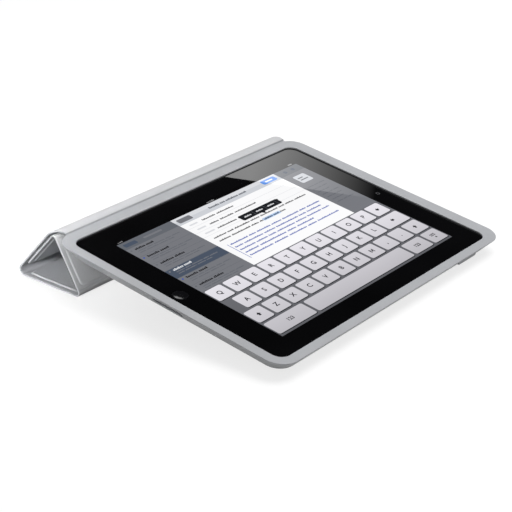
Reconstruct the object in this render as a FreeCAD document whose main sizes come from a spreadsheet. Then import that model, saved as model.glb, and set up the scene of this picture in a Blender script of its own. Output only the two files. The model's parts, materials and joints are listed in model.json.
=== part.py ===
import FreeCAD, Part
import math
import os
import Sketcher

# Folding case for a tablet, with the tablet in it, standing as a typing wedge.
# Millimetres. X runs along the long side, the typist sits at -Y, Z is up and
# the table is Z = 0. The tablet and its shell are drawn in the tablet's own
# frame: x along, y away from the typist, z out of the glass, zero at the
# middle of the glass. Each cover panel is drawn flat: y runs down the cover
# from the spine to its free edge and z points to the skin side.

os.makedirs("parts", exist_ok=True)
doc = FreeCAD.newDocument("folding_tablet_case")
sheet = doc.addObject("Spreadsheet::Sheet", "Sizes")
rows = []
pieces = []
cuts = []


def size(alias, value):
    rows.append(alias)
    cell = f"B{len(rows)}"
    sheet.set(f"A{len(rows)}", alias)
    sheet.set(cell, f"{value:.9g}")
    sheet.setAlias(cell, alias)
    return value


# Tablet
tablet_length = size("tablet_length", 241.2)
tablet_width = size("tablet_width", 185.7)
tablet_thickness = size("tablet_thickness", 9.4)
size("tablet_corner", 10.5)
size("tablet_back_corner", 8.0)
size("tablet_edge", 2.6)
size("tablet_taper", 13.0)
size("glass_thickness", 0.9)
size("housing_wall", 1.3)
size("housing_ledge", 2.0)
size("display_end_margin", 19.1)
size("display_side_margin", 16.35)
size("display_thickness", 2.2)
size("home_diameter", 11.0)
size("home_from_edge", 9.8)
size("home_thickness", 1.6)
size("home_dish_depth", 0.5)
size("button_gap", 0.3)
size("home_travel", 0.35)
size("camera_from_edge", 9.6)
size("front_camera_diameter", 5.0)
size("front_camera_depth", 2.5)
size("rear_camera_diameter", 8.0)
size("rear_camera_from_end", 20.6)
size("rear_camera_from_side", 22.0)
size("rear_camera_depth", 4.4)
size("cells_end_margin", 30.6)
size("cells_side_margin", 34.85)
size("cell_space", 4.0)
size("cell_thickness", 4.0)
size("cells_from_middle", 8.0)
size("board_end_margin", 45.6)
size("board_width", 13.0)
size("board_thickness", 1.4)
size("board_from_side", 23.85)
size("speaker_length", 22.0)
size("speaker_width", 12.0)
size("speaker_thickness", 3.4)
size("speaker_from_end", 22.0)
size("speaker_from_side", 24.0)
size("speaker_slot_width", 3.0)
size("dock_width", 22.0)
size("dock_height", 3.0)
size("dock_depth", 7.5)
size("dock_mouth_width", 19.6)
size("dock_mouth_height", 1.4)
size("port_level", 4.5)
size("jack_from_side", 24.0)
size("jack_width", 6.0)
size("jack_depth", 7.5)
size("jack_bore", 3.6)
size("lid_magnet_length", 26.0)
size("lid_magnet_width", 5.0)
size("lid_magnet_thickness", 1.8)
size("lid_magnet_end_margin", 58.6)
size("lid_magnet_from_side", 10.0)

# Side keys under the rim and the soft pads over them
size("key_level", 3.2)
size("key_height", 2.4)
size("key_reach", 4.6)
size("pad_height", 2.8)
size("pad_inset", 2.2)
size("volume_length", 20.0)
size("volume_pad_length", 23.0)
size("volume_from_end", 34.0)
size("sleep_length", 9.0)
size("sleep_pad_length", 12.5)
size("sleep_from_side", 24.0)
size("switch_length", 4.4)
size("switch_travel", 2.0)
size("switch_from_end", 15.0)

# Shell round the tablet
fit_gap = size("fit_gap", 0.2)
lining_thickness = size("lining_thickness", 0.8)
shell_wall = size("shell_wall", 2.8)
size("rim_end", 8.25)
shell_shift = size("shell_shift", 1.95)
rim_near = size("rim_near", 5.3)
rim_far = size("rim_far", 7.2)
rim_height = size("rim_height", 1.0)
size("rim_overlap_end", 0.9)
size("rim_overlap_side", 1.8)
size("mouth_corner", 8.0)
size("rim_gap", 0.1)
shell_edge = size("shell_edge", 0.5)
size("taper_end", 11.8)
taper_side = size("taper_side", 10.2)
size("shell_corner", 14.0)
size("shell_back_corner", 12.0)
back_round = size("back_round", 10.0)
size("rim_bevel", 0.2)
size("dock_window_width", 26.0)
size("dock_window_height", 5.0)
size("jack_window", 7.6)
size("camera_window", 11.0)
size("microphone_window", 3.0)
size("window_reach", 14.0)

# Cover: four stiffened panels between a skin and a soft lining
cover_length = size("cover_length", 241.0)
cover_shift = size("cover_shift", -1.0)
skin_sheet = size("skin_sheet", 0.7)
skin_rise = size("skin_rise", 0.8)
lining_sheet = size("lining_sheet", 0.6)
lining_rise = size("lining_rise", 0.5)
size("cover_corner", 4.0)
size("board_inset_end", 4.5)
size("board_inset_fold", 2.6)
size("field_corner", 4.1)
size("board_gap", 0.15)
size("rise_margin", 0.6)
size("latch_length", 24.0)
latch_width = size("latch_width", 8.0)
size("latch_end_margin", 42.5)
latch_from_edge = size("latch_from_edge", 9.0)
size("strip_end_margin", 25.5)
size("sleep_magnet_diameter", 7.0)
size("sleep_magnet_from_end", 16.5)

# Lengths between the sharp corners of the folded cover, measured at mid sheet
side_rear = size("side_rear", 60.7)
side_base = size("side_base", 65.5)
side_front = size("side_front", 46.95)
side_inner = size("side_inner", 42.5)
top_lap = size("top_lap", 2.7)
layer_gap = size("layer_gap", 0.4)
fold_radius = [size("fold_radius_rear", 4.0), size("fold_radius_front", 3.0), size("fold_radius_top", 2.5)]
hinge_out = size("hinge_out", 5.4)
hinge_standoff = size("hinge_standoff", 1.82)
hinge_radius = size("hinge_radius", 9.3)
hinge_start = size("hinge_start", 8.5)
hinge_sweep = size("hinge_sweep", 77.0)
close_gap = size("close_gap", 0.25)
size("spine_end_margin", 1.75)
spine_shift = size("spine_shift", 3.5)


# Fold geometry in the plane of the cover's cross-section
def heading(angle):
    return math.cos(angle), math.sin(angle)


def skin_side(angle):
    return math.sin(angle), -math.cos(angle)


def stepped(point, along, across, angle):
    ahead = heading(angle)
    side = skin_side(angle)
    return (
        point[0] + along * ahead[0] + across * side[0],
        point[1] + along * ahead[1] + across * side[1],
    )


def corner_angle(opposite, one, other):
    return math.acos((one ** 2 + other ** 2 - opposite ** 2) / (2 * one * other))


skin_level = skin_sheet + skin_rise
lining_level = lining_sheet + lining_rise
layer_step = skin_level + lining_level + layer_gap
rear_chord = math.hypot(side_rear - top_lap, layer_step)
angle_rear = corner_angle(side_front, rear_chord, side_base) + math.atan2(layer_step, side_rear - top_lap)
angle_front = corner_angle(rear_chord, side_base, side_front)
turns = [math.pi - angle_rear, math.pi - angle_front, angle_rear + angle_front]

# Where the shell's rounded near edge and the hinge line lie in the tablet's frame
shell_back = tablet_thickness + fit_gap + lining_thickness + shell_wall
far_edge = tablet_width / 2 + rim_far
near_edge = tablet_width / 2 + rim_near
taper_angle = math.atan2(shell_back + rim_height - shell_edge, taper_side)
heel = (-(near_edge - taper_side - back_round * math.tan(taper_angle / 2)), back_round - shell_back)
hinge_level = rim_height + close_gap + lining_level + hinge_standoff
hinge = (far_edge + hinge_out, hinge_level)


def rear_heading(tilt):
    return turns[0] - math.pi - tilt


def height(point, tilt):
    return point[0] * math.sin(tilt) + point[1] * math.cos(tilt)


def base_above_heel(tilt):
    start = stepped(hinge, 0, -hinge_standoff, rear_heading(tilt))
    rear_corner = stepped(start, side_rear, 0, rear_heading(tilt))
    return height(rear_corner, tilt) - lining_level - (height(heel, tilt) - back_round)


# The tilt at which the base panel and the shell's near edge stand on one table
low, high = 0.0, math.radians(30)
while high - low > 1e-9:
    tilt = (low + high) / 2
    if base_above_heel(tilt) < 0:
        low = tilt
    else:
        high = tilt
table = height(heel, tilt) - back_round


def on_table(point):
    ahead = point[0] * math.cos(tilt) - point[1] * math.sin(tilt)
    return ahead, height(point, tilt) - table


# Corners of the folded cover and the direction of each panel
hinge_line = on_table(hinge)
angles = [rear_heading(tilt) + tilt]
for turn in turns:
    angles.append(angles[-1] - turn)
sides = [side_rear, side_base, side_front, side_inner]
corners = [stepped(hinge_line, 0, -hinge_standoff, angles[0])]
for length, angle in zip(sides[:3], angles):
    corners.append(stepped(corners[-1], length, 0, angle))
setbacks = [radius * math.tan(turn / 2) for radius, turn in zip(fold_radius, turns)]
panel_start = [hinge_start] + setbacks
panel_end = [length - back for length, back in zip(sides, setbacks + [0.0])]
for index in range(4):
    size(f"panel_{index + 1}_start", panel_start[index])
    size(f"panel_{index + 1}_end", panel_end[index])
for index in range(3):
    size(f"fold_{index + 1}_turn", math.degrees(turns[index]))

# The part's own origin is the middle of its footprint
rear_reach = stepped(corners[1], -setbacks[0], fold_radius[0], angles[0])[0] + fold_radius[0] + lining_sheet
near_reach = on_table((-near_edge, rim_height - shell_edge / 2))[0]
middle = (rear_reach + near_reach) / 2
stand = FreeCAD.Placement(
    FreeCAD.Vector(-shell_shift, -middle, -table),
    FreeCAD.Rotation(FreeCAD.Vector(1, 0, 0), math.degrees(tilt)),
)


def cover_frame(point, angle):
    ahead = heading(angle)
    side = skin_side(angle)
    turned = FreeCAD.Matrix(
        -1, 0, 0, cover_shift - shell_shift,
        0, ahead[0], side[0], point[0] - middle,
        0, ahead[1], side[1], point[1],
        0, 0, 0, 1,
    )
    return FreeCAD.Placement(turned)


panel_frame = [cover_frame(corner, angle) for corner, angle in zip(corners, angles)]
doc.recompute()


# Feature helpers. Every size is an expression over the sheet.
def amount(text):
    return sheet.evalExpression(text)


def origin_plane(body, role):
    return next(plane for plane in body.Origin.OriginFeatures if plane.Role == role)


def new_body(label, placement):
    body = doc.addObject("PartDesign::Body", label)
    body.Label = label
    body.Placement = placement
    pieces.append(body)
    return body


def new_sketch(body, at, plane):
    sketch = body.newObject("Sketcher::SketchObject", f"{body.Label}_outline")
    sketch.AttachmentSupport = [(origin_plane(body, plane), "")]
    sketch.MapMode = "FlatFace"
    for axis, text in zip("xyz", at):
        sketch.setExpression(f"AttachmentOffset.Base.{axis}", text)
    return sketch


def named(sketch, constraint, name, text):
    index = sketch.addConstraint(constraint)
    sketch.renameConstraint(index, name)
    sketch.setExpression(f"Constraints.{name}", text)


def square(body, long_side, short_side, at, plane):
    sketch = new_sketch(body, at, plane)
    half_x, half_y = amount(long_side) / 2, amount(short_side) / 2
    spots = [(half_x, half_y), (-half_x, half_y), (-half_x, -half_y), (half_x, -half_y)]
    for index, spot in enumerate(spots):
        ends = FreeCAD.Vector(*spot, 0), FreeCAD.Vector(*spots[(index + 1) % 4], 0)
        sketch.addGeometry(Part.LineSegment(*ends))
    for index, straight in enumerate(("Horizontal", "Vertical", "Horizontal", "Vertical")):
        sketch.addConstraint(Sketcher.Constraint("Coincident", index, 2, (index + 1) % 4, 1))
        sketch.addConstraint(Sketcher.Constraint(straight, index))
    sketch.addConstraint(Sketcher.Constraint("Symmetric", 0, 1, 2, 1, -1, 1))
    named(sketch, Sketcher.Constraint("DistanceX", 0, 2, 0, 1, 2 * half_x), "long_side", long_side)
    named(sketch, Sketcher.Constraint("DistanceY", 1, 2, 1, 1, 2 * half_y), "short_side", short_side)
    return sketch


def rounded(body, long_side, short_side, corner, at=("0", "0", "0"), plane="XY_Plane"):
    if corner == "0":
        return square(body, long_side, short_side, at, plane)
    sketch = new_sketch(body, at, plane)
    half_x, half_y, radius = amount(long_side) / 2, amount(short_side) / 2, amount(corner)
    quarter = math.pi / 2
    signs = [(1, 1), (-1, 1), (-1, -1), (1, -1)]
    arcs = []
    for index, (sign_x, sign_y) in enumerate(signs):
        middle_point = FreeCAD.Vector(sign_x * (half_x - radius), sign_y * (half_y - radius), 0)
        circle = Part.Circle(middle_point, FreeCAD.Vector(0, 0, 1), radius)
        arcs.append(sketch.addGeometry(Part.ArcOfCircle(circle, index * quarter, (index + 1) * quarter)))
    for index in range(4):
        first, second = arcs[index], arcs[(index + 1) % 4]
        ends = sketch.getPoint(first, 2), sketch.getPoint(second, 1)
        line = sketch.addGeometry(Part.LineSegment(*ends))
        sketch.addConstraint(Sketcher.Constraint("Tangent", first, 2, line, 1))
        sketch.addConstraint(Sketcher.Constraint("Tangent", line, 2, second, 1))
        straight = "Horizontal" if index % 2 == 0 else "Vertical"
        sketch.addConstraint(Sketcher.Constraint(straight, line))
    for arc in arcs[1:]:
        sketch.addConstraint(Sketcher.Constraint("Equal", arcs[0], arc))
    sketch.addConstraint(Sketcher.Constraint("Symmetric", arcs[0], 3, arcs[2], 3, -1, 1))
    named(sketch, Sketcher.Constraint("Radius", arcs[0], radius), "corner", corner)
    span_x = Sketcher.Constraint("DistanceX", arcs[1], 2, arcs[0], 1, 2 * half_x)
    named(sketch, span_x, "long_side", long_side)
    span_y = Sketcher.Constraint("DistanceY", arcs[3], 1, arcs[0], 2, 2 * half_y)
    named(sketch, span_y, "short_side", short_side)
    return sketch


def disc(body, diameter, at=("0", "0", "0"), plane="XY_Plane"):
    sketch = new_sketch(body, at, plane)
    circle = Part.Circle(FreeCAD.Vector(0, 0, 0), FreeCAD.Vector(0, 0, 1), amount(diameter) / 2)
    ring = sketch.addGeometry(circle)
    sketch.addConstraint(Sketcher.Constraint("Coincident", ring, 3, -1, 1))
    named(sketch, Sketcher.Constraint("Diameter", ring, amount(diameter)), "diameter", diameter)
    return sketch


def polygon(body, label, points, along):
    sketch = new_sketch(body, ("0", "0", along), "YZ_Plane")
    count = len(points)
    for index, point in enumerate(points):
        following = points[(index + 1) % count]
        sketch.addGeometry(Part.LineSegment(FreeCAD.Vector(*point, 0), FreeCAD.Vector(*following, 0)))
    for index, point in enumerate(points):
        sketch.addConstraint(Sketcher.Constraint("Coincident", index, 2, (index + 1) % count, 1))
        for kind, word, value in zip(("DistanceX", "DistanceY"), ("out", "up"), point):
            alias = f"{label}_{index + 1}_{word}"
            size(alias, value)
            doc.recompute()
            named(sketch, Sketcher.Constraint(kind, -1, 1, index, 1, value), f"{word}_{index + 1}", f"Sizes.{alias}")
    return sketch


def pad(body, sketch, length, symmetric=False):
    feature = body.newObject("PartDesign::Pad", f"{body.Label}_pad")
    feature.Profile = sketch
    feature.setExpression("Length", length)
    if symmetric:
        feature.SideType = "Symmetric"
    sketch.Visibility = False
    return feature


def pocket(body, sketch, depth, forward=False):
    feature = body.newObject("PartDesign::Pocket", f"{body.Label}_pocket")
    feature.Profile = sketch
    feature.Reversed = forward
    feature.setExpression("Length", depth)
    cuts.append(feature)
    return feature


def loft(body, first, second, subtract=False):
    kind = "SubtractiveLoft" if subtract else "AdditiveLoft"
    feature = body.newObject(f"PartDesign::{kind}", f"{body.Label}_loft")
    feature.Profile = first
    feature.Sections = [second]
    feature.Ruled = True
    if subtract:
        cuts.append(feature)
    return feature


def round_edges(body, base, radius, chosen):
    doc.recompute()
    names = [f"Edge{number + 1}" for number, edge in enumerate(base.Shape.Edges) if chosen(edge)]
    feature = body.newObject("PartDesign::Fillet", f"{body.Label}_round")
    feature.Base = (base, names)
    feature.setExpression("Radius", radius)
    return feature


def bevel_edges(body, base, width, chosen):
    doc.recompute()
    names = [f"Edge{number + 1}" for number, edge in enumerate(base.Shape.Edges) if chosen(edge)]
    feature = body.newObject("PartDesign::Chamfer", f"{body.Label}_bevel")
    feature.Base = (base, names)
    feature.setExpression("Size", width)
    return feature


def lies_at(level):
    def chosen(edge):
        box = edge.BoundBox
        return abs(box.ZMin - level) < 1e-4 and abs(box.ZMax - level) < 1e-4

    return chosen


# Openings in a side wall, the same way on the shell, its lining and the tablet
half_length = "Sizes.tablet_length / 2"
half_width = "Sizes.tablet_width / 2"
half_depth = "Sizes.tablet_thickness / 2"
shell_length = "Sizes.tablet_length + 2 * Sizes.rim_end"
rim_right = "Sizes.rim_end + Sizes.shell_shift"
reach_side = f"{half_length} + {rim_right} + 1"
reach_near = f"{half_width} + Sizes.rim_near + 1"


def side_window(body, side, across, level, width, tall):
    rounding = f"0.48 * ({tall})" if body.Label == "case_shell" else "0"
    if side == "near":
        outline = rounded(body, width, tall, rounding, (across, level, reach_near), "XZ_Plane")
        return pocket(body, outline, "Sizes.rim_near + 1 + Sizes.window_reach")
    sign = "-1" if side == "left" else "1"
    outline = rounded(body, width, tall, rounding, (across, level, f"{sign} * ({reach_side})"), "YZ_Plane")
    return pocket(body, outline, f"{rim_right} + 1 + Sizes.window_reach", forward=side == "left")


volume_at = f"{half_length} - Sizes.volume_from_end"
switch_at = f"{half_length} - Sizes.switch_from_end"
sleep_at = f"Sizes.sleep_from_side - {half_width}"
jack_at = f"{half_width} - Sizes.jack_from_side"
key_level = "-Sizes.key_level"
port_level = "-Sizes.port_level"
gaps = "2 * Sizes.button_gap"
rear_camera_at = (f"{half_length} - Sizes.rear_camera_from_end", f"Sizes.rear_camera_from_side - {half_width}")
speaker_at = (f"Sizes.speaker_from_end - {half_length}", f"{half_width} - Sizes.speaker_from_side")
home_at = f"Sizes.home_from_edge - {half_length}"
switch_window = "Sizes.switch_length + Sizes.switch_travel + 2 * Sizes.button_gap"


def bed(spread, sink):
    low_level = f"-(Sizes.tablet_thickness + {sink})"
    grown = f"2 * ({spread})"
    back_sides = [f"Sizes.tablet_{way} - 2 * Sizes.tablet_taper + {grown}" for way in ("length", "width")]
    full_sides = [f"Sizes.tablet_{way} + {grown}" for way in ("length", "width")]
    return low_level, back_sides, full_sides


def tapered(body, spread, sink, top, subtract=False):
    low_level, back_sides, full_sides = bed(spread, sink)
    corner = f"Sizes.tablet_corner + {spread}"
    back = rounded(body, *back_sides, "Sizes.tablet_back_corner", ("0", "0", low_level))
    wide = rounded(body, *full_sides, corner, ("0", "0", "-Sizes.tablet_edge"))
    loft(body, back, wide, subtract)
    if subtract:
        lid = rounded(body, *full_sides, corner, ("0", "0", top))
        return pocket(body, lid, f"Sizes.tablet_edge + {top}")
    base = rounded(body, *full_sides, corner, ("0", "0", "-Sizes.tablet_edge"))
    return pad(body, base, f"Sizes.tablet_edge + {top}")


def back_hole(body, at, diameter):
    outline = disc(body, diameter, (*at, f"-{half_depth}"))
    return pocket(body, outline, "Sizes.shell_wall + Sizes.tablet_thickness")


def speaker_hole(body):
    rounding = "0.48 * Sizes.speaker_slot_width"
    outline = rounded(
        body, "Sizes.speaker_slot_width", "Sizes.speaker_length", rounding, (*speaker_at, f"-{half_depth}")
    )
    return pocket(body, outline, "Sizes.shell_wall + Sizes.tablet_thickness")


# Moulded shell: tapered back, flat rim over the glass edge, spine along the far side
shell = new_body("case_shell", stand)
shell_width = "Sizes.tablet_width + Sizes.rim_near + Sizes.rim_far"
off_middle = "(Sizes.rim_far - Sizes.rim_near) / 2"
back_level = "-(Sizes.tablet_thickness + Sizes.fit_gap + Sizes.lining_thickness + Sizes.shell_wall)"
edge_level = "Sizes.rim_height - Sizes.shell_edge"
shell_back_outline = rounded(
    shell,
    f"{shell_length} - 2 * Sizes.taper_end",
    f"{shell_width} - 2 * Sizes.taper_side",
    "Sizes.shell_back_corner",
    ("Sizes.shell_shift", off_middle, back_level),
)
edge_at = ("Sizes.shell_shift", off_middle, edge_level)
shell_outline = rounded(shell, shell_length, shell_width, "Sizes.shell_corner", edge_at)
loft(shell, shell_back_outline, shell_outline)
rim_base = rounded(shell, shell_length, shell_width, "Sizes.shell_corner", edge_at)
rim = pad(shell, rim_base, "Sizes.shell_edge")
rim = round_edges(shell, rim, "Sizes.back_round", lies_at(amount(back_level)))
bevel_edges(shell, rim, "Sizes.rim_bevel", lies_at(rim_height))
tapered(shell, "Sizes.fit_gap + Sizes.lining_thickness", "Sizes.fit_gap + Sizes.lining_thickness",
        "Sizes.rim_gap", subtract=True)
mouth = rounded(
    shell,
    "Sizes.tablet_length - 2 * Sizes.rim_overlap_end",
    "Sizes.tablet_width - 2 * Sizes.rim_overlap_side",
    "Sizes.mouth_corner",
    ("0", "0", "Sizes.rim_height"),
)
pocket(shell, mouth, "Sizes.rim_height")


def roll_end(radius):
    turned = math.radians(hinge_sweep)
    along = hinge_start - radius * math.sin(turned)
    across = hinge_radius - radius * math.cos(turned)
    return stepped(hinge, along, across - hinge_standoff, rear_heading(tilt))


spine_length = "(Sizes.cover_length - 2 * Sizes.spine_end_margin)"
spine_outline = polygon(
    shell,
    "spine",
    [
        (far_edge - rim_far / 2, rim_height),
        (far_edge, rim_height),
        roll_end(hinge_radius + lining_sheet),
        roll_end(hinge_radius - skin_sheet),
        (far_edge, rim_height - shell_edge),
        (far_edge - rim_far / 2, rim_height - shell_edge),
    ],
    "Sizes.spine_shift",
)
pad(shell, spine_outline, spine_length, symmetric=True)
side_window(shell, "left", "0", port_level, "Sizes.dock_window_width", "Sizes.dock_window_height")
side_window(shell, "right", jack_at, port_level, "Sizes.jack_window", "Sizes.jack_window * 0.7")
side_window(shell, "right", "0", port_level, "Sizes.microphone_window", "Sizes.microphone_window")
side_window(shell, "right", sleep_at, key_level, f"Sizes.sleep_pad_length + {gaps}", f"Sizes.pad_height + {gaps}")
side_window(shell, "near", volume_at, key_level, f"Sizes.volume_pad_length + {gaps}", f"Sizes.pad_height + {gaps}")
side_window(shell, "near", switch_at, key_level, f"{switch_window} + 3", f"Sizes.pad_height + {gaps}")
back_hole(shell, rear_camera_at, "Sizes.camera_window")
speaker_hole(shell)

# Soft lining bonded into the shell
lining = new_body("shell_lining", stand)
tapered(lining, "Sizes.fit_gap + Sizes.lining_thickness", "Sizes.fit_gap + Sizes.lining_thickness", "0")
tapered(lining, "Sizes.fit_gap", "Sizes.fit_gap", "Sizes.rim_gap", subtract=True)
side_window(lining, "left", "0", port_level, "Sizes.dock_window_width", "Sizes.dock_window_height")
side_window(lining, "right", jack_at, port_level, "Sizes.jack_window", "Sizes.jack_window * 0.7")
side_window(lining, "right", "0", port_level, "Sizes.microphone_window", "Sizes.microphone_window")
side_window(lining, "right", sleep_at, key_level, f"Sizes.sleep_pad_length + {gaps}", f"Sizes.pad_height + {gaps}")
side_window(lining, "near", volume_at, key_level, f"Sizes.volume_pad_length + {gaps}", f"Sizes.pad_height + {gaps}")
side_window(lining, "near", switch_at, key_level, f"{switch_window} + 3", f"Sizes.pad_height + {gaps}")
back_hole(lining, rear_camera_at, "Sizes.camera_window")
speaker_hole(lining)

# Tablet housing with its cavity, key slots and ports
housing = new_body("tablet_housing", stand)
tapered(housing, "0", "0", "-Sizes.glass_thickness")
cavity_floor = "-(Sizes.tablet_thickness - Sizes.housing_wall)"
cavity_low = rounded(
    housing,
    "Sizes.tablet_length - 2 * Sizes.tablet_taper",
    "Sizes.tablet_width - 2 * Sizes.tablet_taper",
    "Sizes.tablet_back_corner",
    ("0", "0", cavity_floor),
)
cavity_high = rounded(
    housing,
    "Sizes.tablet_length - 2 * Sizes.housing_ledge",
    "Sizes.tablet_width - 2 * Sizes.housing_ledge",
    "Sizes.tablet_corner - Sizes.housing_ledge",
    ("0", "0", "-Sizes.glass_thickness"),
)
loft(housing, cavity_low, cavity_high, subtract=True)
home_well = disc(housing, f"Sizes.home_diameter + {gaps}", (home_at, "0", "-Sizes.glass_thickness"))
pocket(housing, home_well, "Sizes.home_thickness + Sizes.home_travel + Sizes.button_gap")
side_window(housing, "left", "0", port_level, "Sizes.dock_mouth_width", "Sizes.dock_mouth_height")
side_window(housing, "right", jack_at, port_level, "Sizes.jack_bore", "Sizes.jack_bore")
side_window(housing, "right", sleep_at, key_level, f"Sizes.sleep_length + {gaps}", f"Sizes.key_height + {gaps}")
side_window(housing, "near", volume_at, key_level, f"Sizes.volume_length + {gaps}", f"Sizes.key_height + {gaps}")
side_window(housing, "near", switch_at, key_level, switch_window, f"Sizes.key_height + {gaps}")
back_hole(housing, rear_camera_at, f"Sizes.rear_camera_diameter + {gaps}")
speaker_hole(housing)


# Flat pieces in the tablet's frame, from a level downwards
def slab(label, long_side, short_side, corner, at, thickness, body=None):
    body = body or new_body(label, stand)
    low_at = (at[0], at[1], f"{at[2]} - ({thickness})")
    pad(body, rounded(body, long_side, short_side, corner, low_at), thickness)
    return body


glass = slab(
    "front_glass", "Sizes.tablet_length", "Sizes.tablet_width", "Sizes.tablet_corner",
    ("0", "0", "0"), "Sizes.glass_thickness",
)
pocket(glass, disc(glass, f"Sizes.home_diameter + {gaps}", (home_at, "0", "0")), "Sizes.glass_thickness")
under_glass = "-Sizes.glass_thickness"
slab("display_panel", "Sizes.tablet_length - 2 * Sizes.display_end_margin",
     "Sizes.tablet_width - 2 * Sizes.display_side_margin", "1", ("0", "0", under_glass), "Sizes.display_thickness")
on_floor = "-(Sizes.tablet_thickness - Sizes.housing_wall)"


def row_of(label, count, pitch, sides, at, placement):
    blocks = []
    for number in range(count):
        shift = f"{number - (count - 1) / 2} * ({pitch})"
        block = doc.addObject("Part::Box", f"{label}_{number + 1}")
        for word, side in zip(("Length", "Width", "Height"), sides):
            block.setExpression(word, side)
        block.setExpression("Placement.Base.x", f"{at[0]} + {shift} - ({sides[0]}) / 2")
        block.setExpression("Placement.Base.y", f"{at[1]} - ({sides[1]}) / 2")
        block.setExpression("Placement.Base.z", at[2])
        blocks.append(block)
    group = doc.addObject("Part::Compound", label)
    group.Label = label
    group.Links = blocks
    group.Placement = placement
    pieces.append(group)


cell_pitch = "((Sizes.tablet_length - 2 * Sizes.cells_end_margin) / 3)"
cell_long = "Sizes.tablet_width - 2 * Sizes.cells_side_margin"
cell_sides = (f"{cell_pitch} - Sizes.cell_space", cell_long, "Sizes.cell_thickness")
row_of("battery_cells", 3, cell_pitch, cell_sides, ("0", "-Sizes.cells_from_middle", on_floor), stand)
magnet_sides = ("Sizes.lid_magnet_length", "Sizes.lid_magnet_width", "Sizes.lid_magnet_thickness")
magnet_at = ("0", f"Sizes.lid_magnet_from_side - {half_width}",
             "-Sizes.glass_thickness - Sizes.lid_magnet_thickness")
magnet_pitch = f"({half_length} - Sizes.lid_magnet_end_margin)"
row_of("lid_magnets", 3, magnet_pitch, magnet_sides, magnet_at, stand)
board_at = ("0", f"{half_width} - Sizes.board_from_side", f"{on_floor} + Sizes.board_thickness")
slab("logic_board", "Sizes.tablet_length - 2 * Sizes.board_end_margin", "Sizes.board_width", "1.5",
     board_at, "Sizes.board_thickness")
slab("speaker_module", "Sizes.speaker_width", "Sizes.speaker_length", "2",
     (*speaker_at, f"{on_floor} + Sizes.speaker_thickness"), "Sizes.speaker_thickness")


def cavity_half(way, depth):
    slope = "(Sizes.tablet_taper - Sizes.housing_ledge) / (Sizes.tablet_thickness - Sizes.housing_wall" \
            " - Sizes.glass_thickness)"
    return f"(Sizes.tablet_{way} / 2 - Sizes.housing_ledge - ({depth} - Sizes.glass_thickness) * {slope})"


# Sockets stand just inside the sloping wall behind their openings
dock_face = f"({cavity_half('length', 'Sizes.port_level + Sizes.dock_height / 2')} - Sizes.button_gap)"
dock_at = (f"Sizes.dock_depth / 2 - {dock_face}", "0", f"{port_level} + Sizes.dock_height / 2")
dock = slab("dock_connector", "Sizes.dock_depth", "Sizes.dock_width", "0.8", dock_at, "Sizes.dock_height")
dock_mouth = rounded(dock, "Sizes.dock_mouth_width", "Sizes.dock_mouth_height", "0.4",
                     ("0", port_level, f"-({reach_side})"), "YZ_Plane")
pocket(dock, dock_mouth, f"{reach_side} - {dock_face} + 0.8 * Sizes.dock_depth", forward=True)
jack_tall = "(Sizes.jack_bore + 1.2)"
jack_face = f"({cavity_half('length', f'Sizes.port_level + {jack_tall} / 2')} - Sizes.button_gap)"
jack_centre = (f"{jack_face} - Sizes.jack_depth / 2", jack_at, f"{port_level} + {jack_tall} / 2")
jack = slab("headphone_jack", "Sizes.jack_depth", "Sizes.jack_width", "0.8", jack_centre, jack_tall)
jack_mouth = disc(jack, "Sizes.jack_bore", (jack_at, port_level, reach_side), "YZ_Plane")
pocket(jack, jack_mouth, f"{reach_side} - {jack_face} + 0.8 * Sizes.jack_depth")
front_camera = new_body("front_camera", stand)
pad(front_camera, disc(front_camera, "Sizes.front_camera_diameter",
                       (f"{half_length} - Sizes.camera_from_edge", "0",
                        "-Sizes.glass_thickness - Sizes.front_camera_depth")), "Sizes.front_camera_depth")
rear_camera = new_body("rear_camera", stand)
pad(rear_camera, disc(rear_camera, "Sizes.rear_camera_diameter",
                      (*rear_camera_at, "-Sizes.tablet_thickness")), "Sizes.rear_camera_depth")

# Keys that travel: home button with a shallow dish, sleep key, volume rocker, side switch
home = new_body("home_button", stand)
home_top = "-Sizes.button_gap / 2"
pad(home, disc(home, "Sizes.home_diameter", (home_at, "0", f"{home_top} - Sizes.home_thickness")),
    "Sizes.home_thickness")
dish = home.newObject("PartDesign::SubtractiveCone", "home_dish")
dish.setExpression("Radius1", "0.18 * Sizes.home_diameter")
dish.setExpression("Radius2", "0.42 * Sizes.home_diameter")
dish.setExpression("Height", "Sizes.home_dish_depth")
dish.setExpression("Placement.Base.x", home_at)
dish.setExpression("Placement.Base.z", f"{home_top} - Sizes.home_dish_depth")
cuts.append(dish)


def side_key(label, side, across, width, tall, outer, depth):
    body = new_body(label, stand)
    rounding = f"0.48 * ({tall})"
    if side == "near":
        outline = rounded(body, width, tall, rounding, (across, key_level, f"{outer} - ({depth})"), "XZ_Plane")
    else:
        outline = rounded(body, width, tall, rounding, (across, key_level, f"{outer} - ({depth})"), "YZ_Plane")
    pad(body, outline, depth)
    return body


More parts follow.
